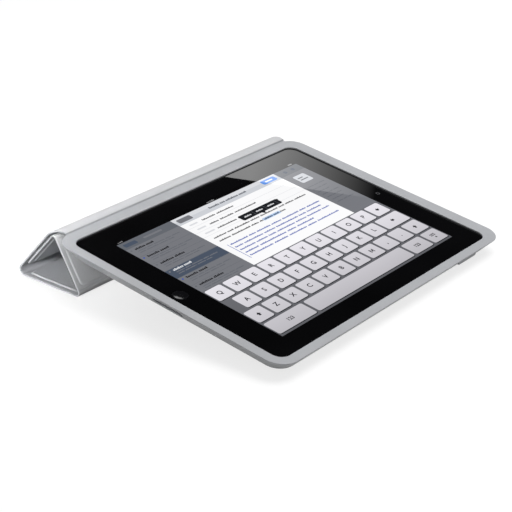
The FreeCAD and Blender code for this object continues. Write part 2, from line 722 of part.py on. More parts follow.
pad_back = "Sizes.fit_gap + Sizes.lining_thickness + Sizes.button_gap"
side_key("volume_rocker", "near", volume_at, "Sizes.volume_length", "Sizes.key_height",
         f"{half_width} + {pad_back}", "Sizes.key_reach")
side_key("volume_pad", "near", volume_at, "Sizes.volume_pad_length", "Sizes.pad_height",
         f"{half_width} + Sizes.rim_near - Sizes.pad_inset", f"Sizes.rim_near - Sizes.pad_inset - ({pad_back})")
side_key("sleep_key", "right", sleep_at, "Sizes.sleep_length", "Sizes.key_height",
         f"{half_length} + {pad_back}", "Sizes.key_reach")
side_key("sleep_pad", "right", sleep_at, "Sizes.sleep_pad_length", "Sizes.pad_height",
         f"{half_length} + {rim_right} - Sizes.pad_inset", f"{rim_right} - Sizes.pad_inset - ({pad_back})")
side_key("side_switch", "near", f"{switch_at} - Sizes.switch_travel / 2", "Sizes.switch_length", "Sizes.key_height",
         f"{half_width} + Sizes.fit_gap", "Sizes.key_reach")


# Cover panels: skin with a raised field, board in its pocket, lining with the same field
def panel(number):
    placement = panel_frame[number - 1]
    start, end = f"Sizes.panel_{number}_start", f"Sizes.panel_{number}_end"
    middle_y = f"({start} + {end}) / 2"
    width = f"({end} - {start})"
    corner = "Sizes.cover_corner" if number == 4 else "0"
    board_sides = ("Sizes.cover_length - 2 * Sizes.board_inset_end", f"{width} - 2 * Sizes.board_inset_fold")
    field_sides = [f"{side} + 2 * Sizes.rise_margin" for side in board_sides]
    bay_sides = [f"{side} + 2 * Sizes.board_gap" for side in board_sides]
    skin = new_body(f"panel_{number}_skin", placement)
    sheet_outline = rounded(skin, "Sizes.cover_length", width, corner, ("0", middle_y, "0"))
    pad(skin, sheet_outline, "Sizes.skin_sheet")
    field = rounded(skin, *field_sides, "Sizes.field_corner", ("0", middle_y, "Sizes.skin_sheet"))
    rise = pad(skin, field, "Sizes.skin_rise")
    bevel_edges(skin, rise, "0.6 * Sizes.skin_rise", lies_at(skin_level))
    bay = rounded(skin, *bay_sides, "0", ("0", middle_y, "Sizes.skin_sheet"))
    pocket(skin, bay, "Sizes.skin_sheet")
    soft = new_body(f"panel_{number}_lining", placement)
    under = "-Sizes.lining_sheet"
    sheet_outline = rounded(soft, "Sizes.cover_length", width, corner, ("0", middle_y, under))
    pad(soft, sheet_outline, "Sizes.lining_sheet")
    field = rounded(soft, *field_sides, "Sizes.field_corner",
                    ("0", middle_y, f"{under} - Sizes.lining_rise"))
    rise = pad(soft, field, "Sizes.lining_rise")
    bevel_edges(soft, rise, "0.6 * Sizes.lining_rise", lies_at(-lining_level))
    bay = rounded(soft, *bay_sides, "0", ("0", middle_y, "0"))
    pocket(soft, bay, "Sizes.lining_sheet")
    board = new_body(f"panel_{number}_board", placement)
    outline = rounded(board, *board_sides, "0", ("0", middle_y, under))
    pad(board, outline, "Sizes.skin_sheet + Sizes.lining_sheet")
    return board


boards = [panel(number) for number in range(1, 5)]


def insert_bay(board, long_side, short_side, at):
    grown = [f"{side} + 2 * Sizes.board_gap" for side in (long_side, short_side)]
    pocket(board, rounded(board, *grown, "0", (*at, "Sizes.skin_sheet")), "Sizes.skin_sheet + Sizes.lining_sheet")


# Magnets in the last panel hold on a steel strip in the first when the cover stands folded
latch_line = "(Sizes.panel_4_end - Sizes.latch_from_edge)"
latch_pitch = "((Sizes.cover_length - 2 * Sizes.latch_end_margin) / 3)"
strip_length = "Sizes.cover_length - 2 * Sizes.strip_end_margin"
plate_line = f"Sizes.top_lap + {latch_line}"
for number in range(4):
    insert_bay(boards[3], "Sizes.latch_length", "Sizes.latch_width",
               (f"{number - 1.5} * {latch_pitch}", latch_line))
insert_bay(boards[0], strip_length, "Sizes.latch_width", ("0", plate_line))
latch_sides = ("Sizes.latch_length", "Sizes.latch_width", "Sizes.skin_sheet + Sizes.lining_sheet")
row_of("latch_magnets", 4, latch_pitch, latch_sides, ("0", latch_line, "-Sizes.lining_sheet"), panel_frame[3])
strip = new_body("latch_strip", panel_frame[0])
strip_outline = rounded(strip, strip_length, "Sizes.latch_width", "0", ("0", plate_line, "-Sizes.lining_sheet"))
pad(strip, strip_outline, "Sizes.skin_sheet + Sizes.lining_sheet")
sleep_line = "(Sizes.panel_3_start + Sizes.panel_3_end) / 2"
sleep_out = "Sizes.cover_length / 2 - Sizes.sleep_magnet_from_end"
pocket(boards[2], disc(boards[2], "Sizes.sleep_magnet_diameter + 2 * Sizes.board_gap",
                       (sleep_out, sleep_line, "Sizes.skin_sheet")),
       "Sizes.skin_sheet + Sizes.lining_sheet")
sleep_magnet = new_body("sleep_magnet", panel_frame[2])
pad(sleep_magnet, disc(sleep_magnet, "Sizes.sleep_magnet_diameter",
                       (sleep_out, sleep_line, "-Sizes.lining_sheet")),
    "Sizes.skin_sheet + Sizes.lining_sheet")


# Soft folds: a sheet bent round each fold, and the hinge strip bent over the spine
def bent_sheet(label, radius, turn, length, placement):
    outer = doc.addObject("Part::Cylinder", f"{label}_outer")
    outer.setExpression("Radius", f"{radius} + Sizes.lining_sheet")
    outer.setExpression("Angle", turn)
    outer.setExpression("Height", length)
    inner = doc.addObject("Part::Cylinder", f"{label}_inner")
    inner.setExpression("Radius", f"{radius} - Sizes.skin_sheet")
    inner.setExpression("Height", length)
    ring = doc.addObject("Part::Cut", label)
    ring.Base = outer
    ring.Tool = inner
    ring.Label = label
    ring.Placement = placement
    return ring


def sector_frame(point, angle, length, from_middle):
    side = skin_side(angle)
    ahead = heading(angle)
    turned = FreeCAD.Matrix(
        0, 0, -1, length / 2 + from_middle - shell_shift,
        -side[0], ahead[0], 0, point[0] - middle,
        -side[1], ahead[1], 0, point[1],
        0, 0, 0, 1,
    )
    return FreeCAD.Placement(turned)


for index, word in enumerate(("rear", "front", "top")):
    bend = stepped(corners[index + 1], -setbacks[index], fold_radius[index], angles[index])
    pieces.append(bent_sheet(
        f"fold_strip_{index + 1}", f"Sizes.fold_radius_{word}", f"Sizes.fold_{index + 1}_turn",
        "Sizes.cover_length", sector_frame(bend, angles[index], cover_length, cover_shift),
    ))
roll_centre = stepped(corners[0], hinge_start, hinge_radius, angles[0])
roll_heading = angles[0] + math.radians(hinge_sweep)
pieces.append(bent_sheet(
    "hinge_strip", "Sizes.hinge_radius", "Sizes.hinge_sweep", spine_length,
    sector_frame(roll_centre, roll_heading, amount(spine_length), spine_shift),
))

doc.recompute()
for item in doc.Objects:
    if {"Invalid", "Error"} & set(item.State):
        raise RuntimeError(f"{item.Label} failed: {item.State}")
for cut in cuts:
    if not cut.Shape.Volume < cut.BaseFeature.Shape.Volume - 1e-6:
        raise RuntimeError(f"{cut.Label} cuts nothing")
for piece in pieces:
    if piece.Shape.isNull() or not piece.Shape.isValid():
        raise RuntimeError(f"{piece.Label} has no valid shape")
for piece in pieces:
    piece.Shape.exportStep(f"parts/{piece.Label}.step")

# Joint lines of the folded cover, in the part's frame
print("tilt", round(math.degrees(tilt), 3), "turns", [round(math.degrees(turn), 2) for turn in turns])
print("hinge line", [round(hinge_line[0] - middle, 4), round(hinge_line[1], 4)])
for index in range(3):
    half_turn = turns[index] / 2
    along = sides[index] - setbacks[index] + fold_radius[index] * half_turn
    across = fold_radius[index] * (1 - half_turn / math.tan(half_turn))
    axis = stepped(corners[index], along, across, angles[index])
    print(f"fold {index + 1} line", [round(axis[0] - middle, 4), round(axis[1], 4)])
print("closing turn", round(math.degrees(math.pi + tilt - angles[0]), 3))
print("glass centre", [round(stand.Base.y, 4), round(stand.Base.z, 4)])
print(len(pieces), "pieces")
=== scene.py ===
import json
import math
import bmesh
import bpy
from mathutils import Matrix, Vector

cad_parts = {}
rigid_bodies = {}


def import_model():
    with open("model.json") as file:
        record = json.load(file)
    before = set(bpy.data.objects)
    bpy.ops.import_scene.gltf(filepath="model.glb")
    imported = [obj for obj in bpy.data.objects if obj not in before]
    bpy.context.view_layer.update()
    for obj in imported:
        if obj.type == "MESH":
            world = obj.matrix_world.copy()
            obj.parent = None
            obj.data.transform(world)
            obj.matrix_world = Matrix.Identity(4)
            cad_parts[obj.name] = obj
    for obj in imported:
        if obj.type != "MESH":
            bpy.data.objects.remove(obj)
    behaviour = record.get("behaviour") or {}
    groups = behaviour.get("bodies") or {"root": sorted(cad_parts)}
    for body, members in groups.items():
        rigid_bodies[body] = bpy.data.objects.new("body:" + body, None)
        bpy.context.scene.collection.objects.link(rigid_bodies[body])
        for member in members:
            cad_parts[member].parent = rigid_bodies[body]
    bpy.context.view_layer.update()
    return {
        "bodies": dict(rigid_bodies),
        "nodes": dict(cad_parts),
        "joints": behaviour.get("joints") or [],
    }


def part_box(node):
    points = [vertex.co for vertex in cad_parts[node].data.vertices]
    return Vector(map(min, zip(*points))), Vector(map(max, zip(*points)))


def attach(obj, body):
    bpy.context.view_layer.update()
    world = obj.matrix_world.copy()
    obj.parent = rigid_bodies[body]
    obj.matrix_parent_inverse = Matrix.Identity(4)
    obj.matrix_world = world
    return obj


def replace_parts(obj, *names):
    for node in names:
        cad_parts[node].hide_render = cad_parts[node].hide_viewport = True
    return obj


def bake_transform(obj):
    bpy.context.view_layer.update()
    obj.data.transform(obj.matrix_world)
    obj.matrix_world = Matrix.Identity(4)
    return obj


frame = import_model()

mm = 0.001
scene = bpy.context.scene
kept = {*frame["nodes"].values(), *frame["bodies"].values()}
for stray in [thing for thing in scene.objects if thing not in kept]:
    bpy.data.objects.remove(stray)
scene.view_settings.view_transform = "Standard"
joints = {joint["name"]: joint for joint in frame["joints"]}

# the tablet's own frame: u along, v away from the typist, n out of the glass
intoGlass = Vector(joints["home_press"]["axis"])
tilt = math.atan2(intoGlass.y, -intoGlass.z)
glassLow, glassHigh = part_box("front_glass")
glassHalf = 0.45 * mm
glassCentre = (glassLow + glassHigh) / 2 - intoGlass * glassHalf
tabletFrame = Matrix.Translation(glassCentre) @ Matrix.Rotation(tilt, 4, "X")


def onTablet(u, v, n):
    return tabletFrame @ Vector((u * mm, v * mm, n * mm))


def addObject(name, data):
    made = bpy.data.objects.new(name, data)
    scene.collection.objects.link(made)
    return made


# camera where the photograph was taken from
photoView = {
    "place": (-730.95, -499.78, 494.06),
    "right": (0.631, -0.7672, 0.1151),
    "down": (-0.325, -0.3961, -0.8587),
    "ahead": (0.7044, 0.5044, -0.4993),
    "lens": 102.375,
    "sensor": 36.0,
    "shift": (-0.5 / 512, 0.5 / 512),
    "clip": 0.05,
}


def addCamera(view):
    lens = bpy.data.cameras.new("photoCamera")
    lens.lens = view["lens"]
    lens.sensor_width = view["sensor"]
    lens.shift_x, lens.shift_y = view["shift"]
    lens.clip_start = view["clip"]
    camera = addObject("photoCamera", lens)
    turn = tabletFrame.to_3x3()
    axes = [turn @ Vector(view["right"]), -(turn @ Vector(view["down"])), -(turn @ Vector(view["ahead"]))]
    basis = Matrix(axes).transposed()
    camera.rotation_mode = "QUATERNION"
    camera.rotation_quaternion = basis.to_quaternion().normalized()
    camera.location = onTablet(*view["place"])
    scene.camera = camera


addCamera(photoView)
print("camera set")


# node helpers
def newMaterial(name):
    material = bpy.data.materials.new(name)
    material.use_nodes = True
    tree = material.node_tree
    return material, tree, tree.nodes["Principled BSDF"]


def setInputs(node, values):
    for key, value in values.items():
        node.inputs[key].default_value = value


def addNode(tree, kind, **values):
    made = tree.nodes.new(kind)
    for key, value in values.items():
        if key in made.inputs:
            made.inputs[key].default_value = value
        else:
            setattr(made, key, value)
    return made


def objectCoords(tree):
    return addNode(tree, "ShaderNodeTexCoord").outputs["Object"]


def noise(tree, coords, scale, detail=3.0):
    made = addNode(tree, "ShaderNodeTexNoise", Scale=scale, Detail=detail)
    tree.links.new(coords, made.inputs["Vector"])
    return made.outputs["Fac"]


def ramp(tree, fac, low, high, start=0.35, end=0.65):
    made = addNode(tree, "ShaderNodeValToRGB")
    made.color_ramp.elements[0].position = start
    made.color_ramp.elements[1].position = end
    made.color_ramp.elements[0].color = (*low, 1)
    made.color_ramp.elements[1].color = (*high, 1)
    tree.links.new(fac, made.inputs["Fac"])
    return made.outputs["Color"]


def rescaled(tree, value, fromLow, fromHigh, toLow, toHigh):
    made = addNode(tree, "ShaderNodeMapRange")
    setInputs(made, {"From Min": fromLow, "From Max": fromHigh, "To Min": toLow, "To Max": toHigh})
    tree.links.new(value, made.inputs["Value"])
    return made.outputs["Result"]


def oneAxis(tree, coords, axis):
    split = addNode(tree, "ShaderNodeSeparateXYZ")
    tree.links.new(coords, split.inputs["Vector"])
    return split.outputs[axis]


def bumpFrom(tree, shader, fac, strength, depth):
    made = addNode(tree, "ShaderNodeBump", Strength=strength, Distance=depth)
    tree.links.new(fac, made.inputs["Height"])
    tree.links.new(made.outputs["Normal"], shader.inputs["Normal"])


def shades(colour, spread):
    return [tuple(channel * factor for channel in colour) for factor in (1 - spread, 1 + spread)]


# moulded and rolled polyurethane: fine pebble grain over a slow change of tone
skinFinish = {
    "colour": (0.455, 0.465, 0.485), "spread": 0.035, "toneScale": 38.0, "rough": (0.42, 0.52), "roughScale": 240.0,
    "specular": 0.35, "grain": 1500.0, "bump": 0.35, "depth": 0.00006,
}


def grainedSkin(name, finish):
    material, tree, shader = newMaterial(name)
    coords = objectCoords(tree)
    tone = noise(tree, coords, finish["toneScale"], 4.0)
    tree.links.new(ramp(tree, tone, *shades(finish["colour"], finish["spread"])), shader.inputs["Base Color"])
    pebble = addNode(tree, "ShaderNodeTexVoronoi", Scale=finish["grain"], feature="SMOOTH_F1")
    tree.links.new(coords, pebble.inputs["Vector"])
    rough = rescaled(tree, noise(tree, coords, finish["roughScale"]), 0.0, 1.0, *finish["rough"])
    tree.links.new(rough, shader.inputs["Roughness"])
    bumpFrom(tree, shader, pebble.outputs["Distance"], finish["bump"], finish["depth"])
    setInputs(shader, {"Specular IOR Level": finish["specular"]})
    return material


# short-napped lining: fine fibre bump and a soft sheen
liningFinish = {
    "colour": (0.62, 0.625, 0.64), "spread": 0.06, "tones": (0.12, 0.4), "fibre": 2600.0, "brushed": 60.0,
    "bump": 0.3, "depth": 0.00008, "rough": 0.92, "sheen": 0.25, "sheenRough": 0.5,
}


def nappedLining(name, finish):
    material, tree, shader = newMaterial(name)
    coords = objectCoords(tree)
    fibre = noise(tree, coords, finish["fibre"], 2.0)
    brushed = noise(tree, coords, finish["brushed"], 5.0)
    both = addNode(tree, "ShaderNodeMath", operation="MULTIPLY")
    tree.links.new(fibre, both.inputs[0])
    tree.links.new(brushed, both.inputs[1])
    colour = ramp(tree, both.outputs["Value"], *shades(finish["colour"], finish["spread"]), *finish["tones"])
    tree.links.new(colour, shader.inputs["Base Color"])
    bumpFrom(tree, shader, fibre, finish["bump"], finish["depth"])
    setInputs(shader, {"Roughness": finish["rough"], "Sheen Weight": finish["sheen"],
                       "Sheen Roughness": finish["sheenRough"]})
    return material


# polished black-backed glass with the faintest handling marks
glassFinish = {
    "colour": (0.0032, 0.0032, 0.0036), "spread": 0.2, "toneScale": 12.0, "rough": (0.004, 0.014), "markScale": 30.0,
    "index": 1.5,
}


def blackGlass(name, finish):
    material, tree, shader = newMaterial(name)
    coords = objectCoords(tree)
    tone = noise(tree, coords, finish["toneScale"])
    tree.links.new(ramp(tree, tone, *shades(finish["colour"], finish["spread"])), shader.inputs["Base Color"])
    rough = rescaled(tree, noise(tree, coords, finish["markScale"], 6.0), 0.0, 1.0, *finish["rough"])
    tree.links.new(rough, shader.inputs["Roughness"])
    setInputs(shader, {"IOR": finish["index"]})
    return material


# plain mouldings and metals: a fine speckle in tone and height
speckleFinish = {"spread": 0.06, "bump": 0.2}


def plainMoulding(name, colour, rough, grain=700.0, depth=0.00003, metallic=0.0):
    material, tree, shader = newMaterial(name)
    speckle = noise(tree, objectCoords(tree), grain, 2.0)
    tree.links.new(ramp(tree, speckle, *shades(colour, speckleFinish["spread"])), shader.inputs["Base Color"])
    bumpFrom(tree, shader, speckle, speckleFinish["bump"], depth)
    setInputs(shader, {"Roughness": rough, "Metallic": metallic})
    return material


skin = grainedSkin("grainedSkin", skinFinish)
lining = nappedLining("nappedLining", liningFinish)
glass = blackGlass("blackGlass", glassFinish)
anodised = plainMoulding("anodisedMetal", (0.62, 0.63, 0.65), 0.38, 3000.0, 0.00001, 1.0)
plated = plainMoulding("platedMetal", (0.52, 0.52, 0.54), 0.3, 900.0, 0.00001, 1.0)
blackMoulding = plainMoulding("blackMoulding", (0.012, 0.012, 0.013), 0.5)
buttonGloss = plainMoulding("buttonGloss", (0.006, 0.006, 0.007), 0.12, 400.0, 0.000004)
solderMask = plainMoulding("solderMask", (0.02, 0.09, 0.05), 0.45)
stiffBoard = plainMoulding("stiffBoard", (0.05, 0.05, 0.055), 0.7)
solidFinishes = (
    (skin, ("case_shell", "volume_pad", "sleep_pad")),
    (lining, ("shell_lining",)),
    (anodised, ("tablet_housing", "sleep_key", "volume_rocker")),
    (glass, ("front_glass",)),
    (buttonGloss, ("home_button", "rear_camera", "front_camera")),
    (blackMoulding, ("side_switch", "display_panel", "battery_cells", "dock_connector", "speaker_module")),
    (solderMask, ("logic_board",)),
    (plated, ("headphone_jack", "lid_magnets", "latch_strip", "latch_magnets", "sleep_magnet")),
    (stiffBoard, ("panel_1_board", "panel_2_board", "panel_3_board", "panel_4_board")),
)
for finish, nodeNames in solidFinishes:
    for nodeName in nodeNames:
        solid = frame["nodes"][nodeName].data
        solid.materials.clear()
        solid.materials.append(finish)
print("finishes made")


# mesh helpers
def makePiece(name, points, faces, materials, picks=None, smooth=True):
    mesh = bpy.data.meshes.new(name)
    mesh.from_pydata(points, [], faces)
    for material in materials:
        mesh.materials.append(material)
    if picks:
        mesh.polygons.foreach_set("material_index", picks)
    mesh.polygons.foreach_set("use_smooth", [smooth] * len(mesh.polygons))
    mesh.update()
    return addObject(name, mesh)


def slabFaces(base, count):
    # top, bottom and sides of an outline whose points are listed twice, the upper ones first
    faces = [[base + i for i in range(count)], [base + count + i for i in reversed(range(count))]]
    for i in range(count):
        j = (i + 1) % count
        faces.append([base + j, base + i, base + count + i, base + count + j])
    return faces


def sheetFaces(rows, columns):
    # both sides of a gridded sheet, skin and lining, and the rim that closes it
    lower = rows * columns
    faces, picks = [], []
    for i in range(rows - 1):
        for j in range(columns - 1):
            a, b = i * columns + j, (i + 1) * columns + j
            faces.append((a, a + 1, b + 1, b))
            faces.append((lower + a, lower + b, lower + b + 1, lower + a + 1))
            picks += [0, 1]
    rim = [i * columns for i in range(rows)] + [(rows - 1) * columns + j for j in range(1, columns)]
    rim += [i * columns + columns - 1 for i in range(rows - 2, -1, -1)] + list(range(columns - 2, 0, -1))
    for a, b in zip(rim, rim[1:] + rim[:1]):
        faces.append((a, b, lower + b, lower + a))
        picks.append(0)
    return faces, picks


# the front camera's window: ring and lens at the far end of the glass
cameraWindow = {"ring": 1.7, "lens": 0.95, "lift": 0.012, "sheet": 0.008, "steps": 28}


def addCameraWindow(window):
    low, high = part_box("front_camera")
    middle = tabletFrame.inverted() @ ((low + high) / 2) / mm
    steps = window["steps"]
    points, faces, picks = [], [], []
    for pick, name in enumerate(("ring", "lens")):
        faces += slabFaces(len(points), steps)
        picks += [pick] * (steps + 2)
        top = window["lift"] + pick * window["sheet"]
        for height in (top, top - window["sheet"]):
            for i in range(steps):
                angle = 2 * math.pi * i / steps
                points.append(onTablet(middle.x + window[name] * math.cos(angle),
                                       middle.y + window[name] * math.sin(angle), height))
    piece = makePiece("cameraWindow", points, faces, [stiffBoard, buttonGloss], picks, False)
    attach(piece, "case_and_tablet")


addCameraWindow(cameraWindow)
print("camera window made")

# the cover's cross-section, from the hinge line and the lengths between its folds
cover = {
    "length": 241.0, "shift": -1.0, "sides": (60.7, 65.5, 46.95, 42.5), "lap": 2.7, "layerGap": 0.4,
    "radii": (4.0, 3.0, 2.5), "skinSheet": 0.7, "skinRise": 0.8, "liningSheet": 0.6, "liningRise": 0.5,
    "endBorder": 3.9, "foldBorder": 2.0, "fieldCorner": 4.1, "fieldLead": 0.55, "fieldRamp": 1.15,
    "edgeDrop": 0.34, "edgeReach": 0.6, "freeCorner": 4.0, "standoff": 1.82,
    "hingeStart": 8.5, "hingeRadius": 9.3, "hingeSweep": math.radians(77.0), "spineMargin": 1.75, "spineShift": 3.5,
}
coverGrid = {
    "edge": [0.0, 0.12, 0.3, 0.6, 1.6, 2.7, 3.2, 3.5, 3.8, 4.1, 4.4, 4.8, 5.4, 7.0, 10.0],
    "fold": [0.0, 0.6, 1.1, 1.5, 1.8, 2.1, 2.4, 2.7, 3.1, 3.8, 5.0],
    "along": 11.0, "across": 7.0, "stripAlong": 14.0, "foldSteps": 18, "hingeSteps": 20,
}


def cornerAngle(opposite, one, other):
    return math.acos((one ** 2 + other ** 2 - opposite ** 2) / (2 * one * other))


def stepped(point, along, across, angle):
    return (
        point[0] + along * math.cos(angle) + across * math.sin(angle),
        point[1] + along * math.sin(angle) - across * math.cos(angle),
    )


rearSide, baseSide, frontSide = cover["sides"][:3]
skinLevel = cover["skinSheet"] + cover["skinRise"]
liningLevel = cover["liningSheet"] + cover["liningRise"]
layerStep = skinLevel + liningLevel + cover["layerGap"]
rearChord = math.hypot(rearSide - cover["lap"], layerStep)
rearAngle = cornerAngle(frontSide, rearChord, baseSide) + math.atan2(layerStep, rearSide - cover["lap"])
frontAngle = cornerAngle(rearChord, baseSide, frontSide)
turns = (math.pi - rearAngle, math.pi - frontAngle, rearAngle + frontAngle)
hingePoint = [value / mm for value in joints["cover_hinge"]["pos_m"][1:]]
headings = [turns[0] - math.pi]
for turn in turns:
    headings.append(headings[-1] - turn)
corners = [stepped(hingePoint, 0, -cover["standoff"], headings[0])]
for side, angle in zip(cover["sides"][:3], headings):
    corners.append(stepped(corners[-1], side, 0, angle))
setbacks = [radius * math.tan(turn / 2) for radius, turn in zip(cover["radii"], turns)]
panelStart = [cover["hingeStart"], *setbacks]
panelEnd = [side - back for side, back in zip(cover["sides"], [*setbacks, 0.0])]
panelBody = ["rear_panel", "base_panel", "front_panel", "free_panel"]
coverHalf = cover["length"] / 2
coverEnds = (cover["shift"] - coverHalf, cover["shift"] + coverHalf)


def acrossCover(number, x, y, z):
    point = stepped(corners[number], y, z, headings[number])
    return Vector((glassCentre.x + (cover["shift"] - x) * mm, point[0] * mm, point[1] * mm))


def gridLines(low, high, near, far, gap):
    # lines close together beside both edges and spread out between
    left = [low + step for step in near]
    right = [high - step for step in reversed(far)]
    count = max(2, round((right[0] - left[-1]) / gap))
    return left + [left[-1] + (right[0] - left[-1]) * i / count for i in range(1, count)] + right


def easeStep(value):
    value = max(0.0, min(1.0, value))
    return value * value * (3 - 2 * value)


def insideField(x, y, halfX, low, high, corner):
    # distance inside a rounded rectangle
    middle, halfY = (low + high) / 2, (high - low) / 2
    outX, outY = abs(x) - (halfX - corner), abs(y - middle) - (halfY - corner)
    outside = math.hypot(max(outX, 0), max(outY, 0)) + min(max(outX, outY), 0)
    return corner - outside


def edgeDrop(inset):
    # how far a face falls away beside the sheet's cut edge
    return cover["edgeDrop"] * (1 - min(inset / cover["edgeReach"], 1)) ** 2


def coverPanel(number):
    start, end = panelStart[number], panelEnd[number]
    free = number == 3
    edge, fold = coverGrid["edge"], coverGrid["fold"]
    xs = gridLines(-coverHalf, coverHalf, edge, edge, coverGrid["along"])
    ys = gridLines(start, end, fold, edge if free else fold, coverGrid["across"])
    field = (coverHalf - cover["endBorder"], start + cover["foldBorder"], end - cover["foldBorder"])
    cornerX, cornerY = coverHalf - cover["freeCorner"], end - cover["freeCorner"]
    points = []
    for side, layer in ((1, "skin"), (-1, "lining")):
        for x in xs:
            for y in ys:
                inner = insideField(x, y, *field, cover["fieldCorner"])
                rise = cover[layer + "Rise"] * easeStep((inner + cover["fieldLead"]) / cover["fieldRamp"])
                inset = coverHalf - abs(x)
                if free:
                    inset = min(inset, end - y)
                height = cover[layer + "Sheet"] + rise - edgeDrop(inset)
                placedX, placedY = x, y
                alongX, alongY = abs(x) - cornerX, y - cornerY
                if free and alongX > 0 and alongY > 0:
                    pull = max(alongX, alongY) / math.hypot(alongX, alongY)
                    placedX = math.copysign(cornerX + alongX * pull, x)
                    placedY = cornerY + alongY * pull
                points.append(acrossCover(number, placedX, placedY, side * height))
    faces, picks = sheetFaces(len(xs), len(ys))
    piece = makePiece(f"coverPanel{number + 1}", points, faces, [skin, lining], picks)
    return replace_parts(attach(piece, panelBody[number]), f"panel_{number + 1}_skin",
                               f"panel_{number + 1}_lining")


def bentStrip(name, path, ends):
    # a sheet of skin and lining along a bent line, its two ends running from the first reach to the last
    edge = coverGrid["edge"][:5]
    xs = gridLines(-coverHalf, coverHalf, edge, edge, coverGrid["stripAlong"])
    points = []
    for side, sheet in ((1, cover["skinSheet"]), (-1, cover["liningSheet"])):
        for x in xs:
            height = side * (sheet - edgeDrop(coverHalf - abs(x)))
            for step, ((y, z), (acrossY, acrossZ)) in enumerate(path):
                share = easeStep(step / (len(path) - 1))
                low, high = [first + (last - first) * share for first, last in zip(*ends)]
                along = (low + high - x * (high - low) / coverHalf) / 2
                points.append(Vector((glassCentre.x + along * mm, (y + acrossY * height) * mm,
                                      (z + acrossZ * height) * mm)))
    faces, picks = sheetFaces(len(xs), len(path))
    return makePiece(name, points, faces, [skin, lining], picks)


def arcPath(centre, radius, startAngle, turn, steps):
    path = []
    for i in range(steps + 1):
        angle = startAngle - turn * i / steps
        path.append((stepped(centre, 0, -radius, angle), (math.sin(angle), -math.cos(angle))))
    return path


def foldPiece(number):
    radius = cover["radii"][number]
    centre = stepped(corners[number + 1], -setbacks[number], radius, headings[number])
    path = arcPath(centre, radius, headings[number], turns[number], coverGrid["foldSteps"])
    piece = bentStrip(f"coverFold{number + 1}", path, (coverEnds, coverEnds))
    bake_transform(piece)
    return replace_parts(piece, f"fold_strip_{number + 1}")


def hingePiece():
    # one roll from the shell's lip over to the first panel
    radius, sweep = cover["hingeRadius"], cover["hingeSweep"]
    centre = stepped(corners[0], cover["hingeStart"], radius, headings[0])
    path = arcPath(centre, radius, headings[0] + sweep, sweep, coverGrid["hingeSteps"])
    reach = coverHalf - cover["spineMargin"]
    spineEnds = (cover["spineShift"] - reach, cover["spineShift"] + reach)
    piece = bentStrip("coverHinge", path, (spineEnds, coverEnds))
    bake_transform(piece)
    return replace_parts(piece, "hinge_strip")


for number in range(4):
    coverPanel(number)
for number in range(3):
    foldPiece(number)
hingePiece()
print("cover made")


# the lit screen: thin layers over the display, laid out in millimetres on the glass
screen = {
    "halfLong": 98.55, "halfShort": 73.9, "middle": (1.0, -0.2), "strip": 3.85, "trayTop": -6.6,
    "layer": 0.012, "lift": 0.02, "layerFill": 0.6, "keyFill": 0.8, "legendFill": 0.3,
}
litGlass = {"black": (0.003, 0.003, 0.0032, 1), "rough": 0.012, "index": 1.5, "spread": 0.02, "toneScale": 9.0}
lit = {
    "stripBlack": (0.0, 0.0, 0.0), "sideGrey": (0.185, 0.19, 0.21), "sideBar": (0.13, 0.14, 0.16),
    "sideDark": (0.07, 0.09, 0.13), "sheetWhite": (0.97, 0.97, 0.98), "titleGrey": (0.62, 0.64, 0.68),
    "inkGrey": (0.012, 0.012, 0.014), "ruleGrey": (0.72, 0.73, 0.76), "inkBlue": (0.03, 0.08, 0.42),
    "blueKey": (0.12, 0.3, 0.78), "popDark": (0.012, 0.013, 0.016), "markLight": (0.75, 0.76, 0.78),
    "trayGrey": (0.16, 0.163, 0.18), "keyPale": (0.85, 0.83, 0.885), "keyInk": (0.022, 0.022, 0.026),
    "paleBlue": (0.45, 0.6, 0.85), "stripMark": (0.3, 0.3, 0.31),
}
litFades = {"keyPale": 0.58, "trayGrey": 0.7}
screenFrame = tabletFrame @ Matrix.Translation((screen["middle"][0] * mm, screen["middle"][1] * mm, 0))
halfLong, halfShort = screen["halfLong"], screen["halfShort"]
stripLow, trayTop = halfShort - screen["strip"], screen["trayTop"]


def onScreen(u, v, n):
    return screenFrame @ Vector((u * mm, v * mm, n * mm))


def litFinish(name, colour, settings):
    material, tree, shader = newMaterial(name)
    coords = objectCoords(tree)
    tone = noise(tree, coords, settings["toneScale"], 1.0)
    tree.links.new(ramp(tree, tone, *shades(colour, settings["spread"])), shader.inputs["Emission Color"])
    setInputs(shader, {"Base Color": settings["black"], "Roughness": settings["rough"], "IOR": settings["index"],
                       "Emission Strength": 1.0})
    if name in litFades:
        # these dim toward the typist
        near, middle = onScreen(0, -halfShort, 0).y, onScreen(0, 0, 0).y
        level = rescaled(tree, oneAxis(tree, coords, "Y"), near, middle, litFades[name], 1.0)
        tree.links.new(level, shader.inputs["Emission Strength"])
    return material


litMaterials = {name: litFinish(name, colour, litGlass) for name, colour in lit.items()}
litNames = list(lit)
layers = {"points": [], "faces": [], "picks": []}


def addLayer(outline, level, name):
    high = screen["lift"] + level * screen["layer"]
    low = screen["lift"] + (level - screen["layerFill"]) * screen["layer"]
    layers["faces"] += slabFaces(len(layers["points"]), len(outline))
    layers["points"] += [onScreen(u, v, height) for height in (high, low) for u, v in outline]
    layers["picks"] += [litNames.index(name)] * (len(outline) + 2)


def barOutline(left, low, right, high, corner):
    corner = min(corner, (right - left) / 2.02, (high - low) / 2.02)  # leaves a little of each side straight
    spots = [(right - corner, high - corner), (left + corner, high - corner),
             (left + corner, low + corner), (right - corner, low + corner)]
    outline = []
    for quarter, (u, v) in enumerate(spots):
        for step in range(4):
            angle = (quarter + step / 3) * math.pi / 2
            outline.append((u + corner * math.cos(angle), v + corner * math.sin(angle)))
    return outline


def addBar(left, low, right, high, level, name, corner=0.4):
    addLayer(barOutline(left, low, right, high, corner), level, name)


